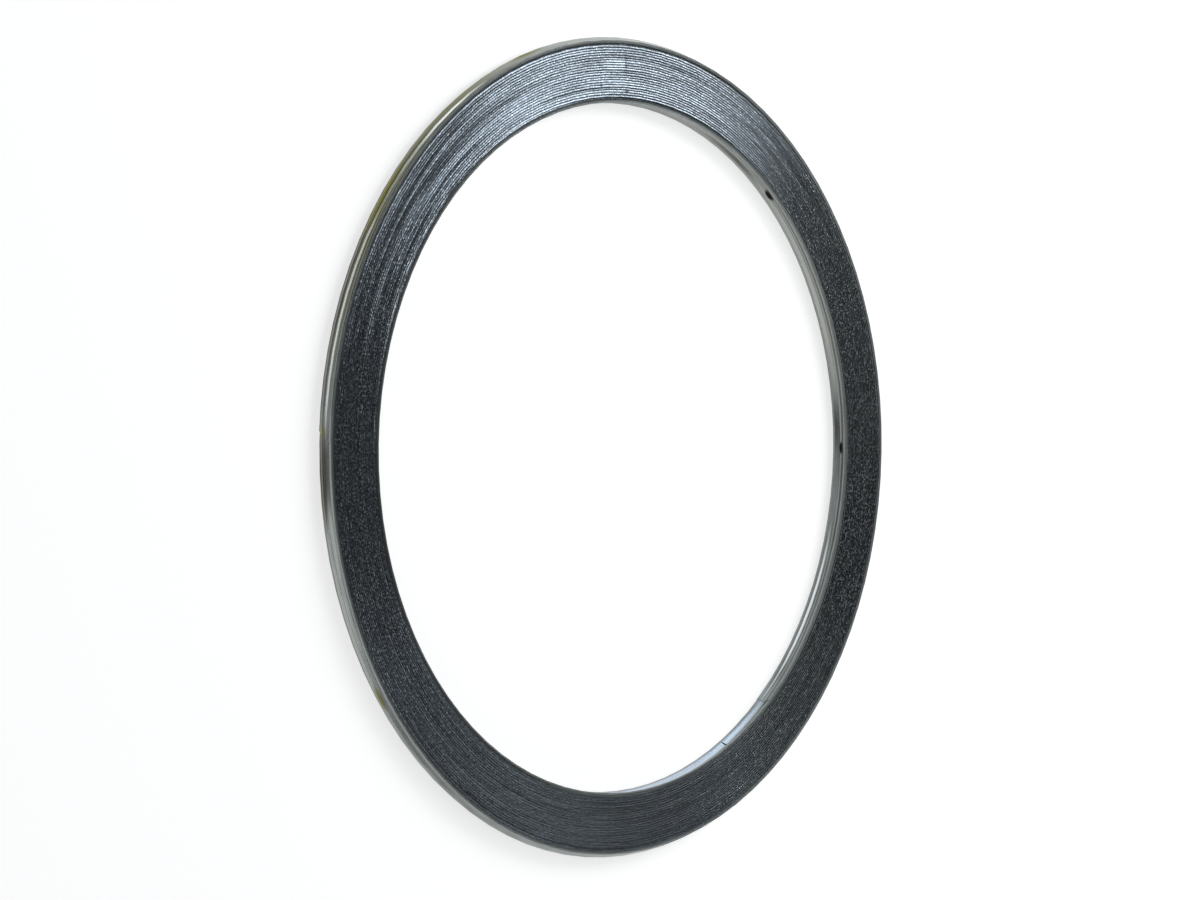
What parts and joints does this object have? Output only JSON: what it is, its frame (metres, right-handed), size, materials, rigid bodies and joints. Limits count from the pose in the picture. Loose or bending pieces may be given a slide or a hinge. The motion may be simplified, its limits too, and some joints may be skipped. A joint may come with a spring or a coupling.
{
  "type": "spiral-wound door gasket",
  "caption": "Flat ring gasket wound from a V-shaped steel strip and graphite tape, bare steel at bore and rim, for sealing a round door or cover.",
  "frame": {"origin": "middle of the ring on its lower sealing face", "axes": "+Z along the ring's axis towards the face that shows in the picture, +X away from the strip's outer end"},
  "size_m": [0.2266, 0.2265, 0.0048],
  "materials": {
    "steel": "satin",
    "graphite": "satin"
  },
  "bodies": {
    "root": {"steel_strip": "steel", "graphite_tape": "graphite"}
  },
  "joints": []
}
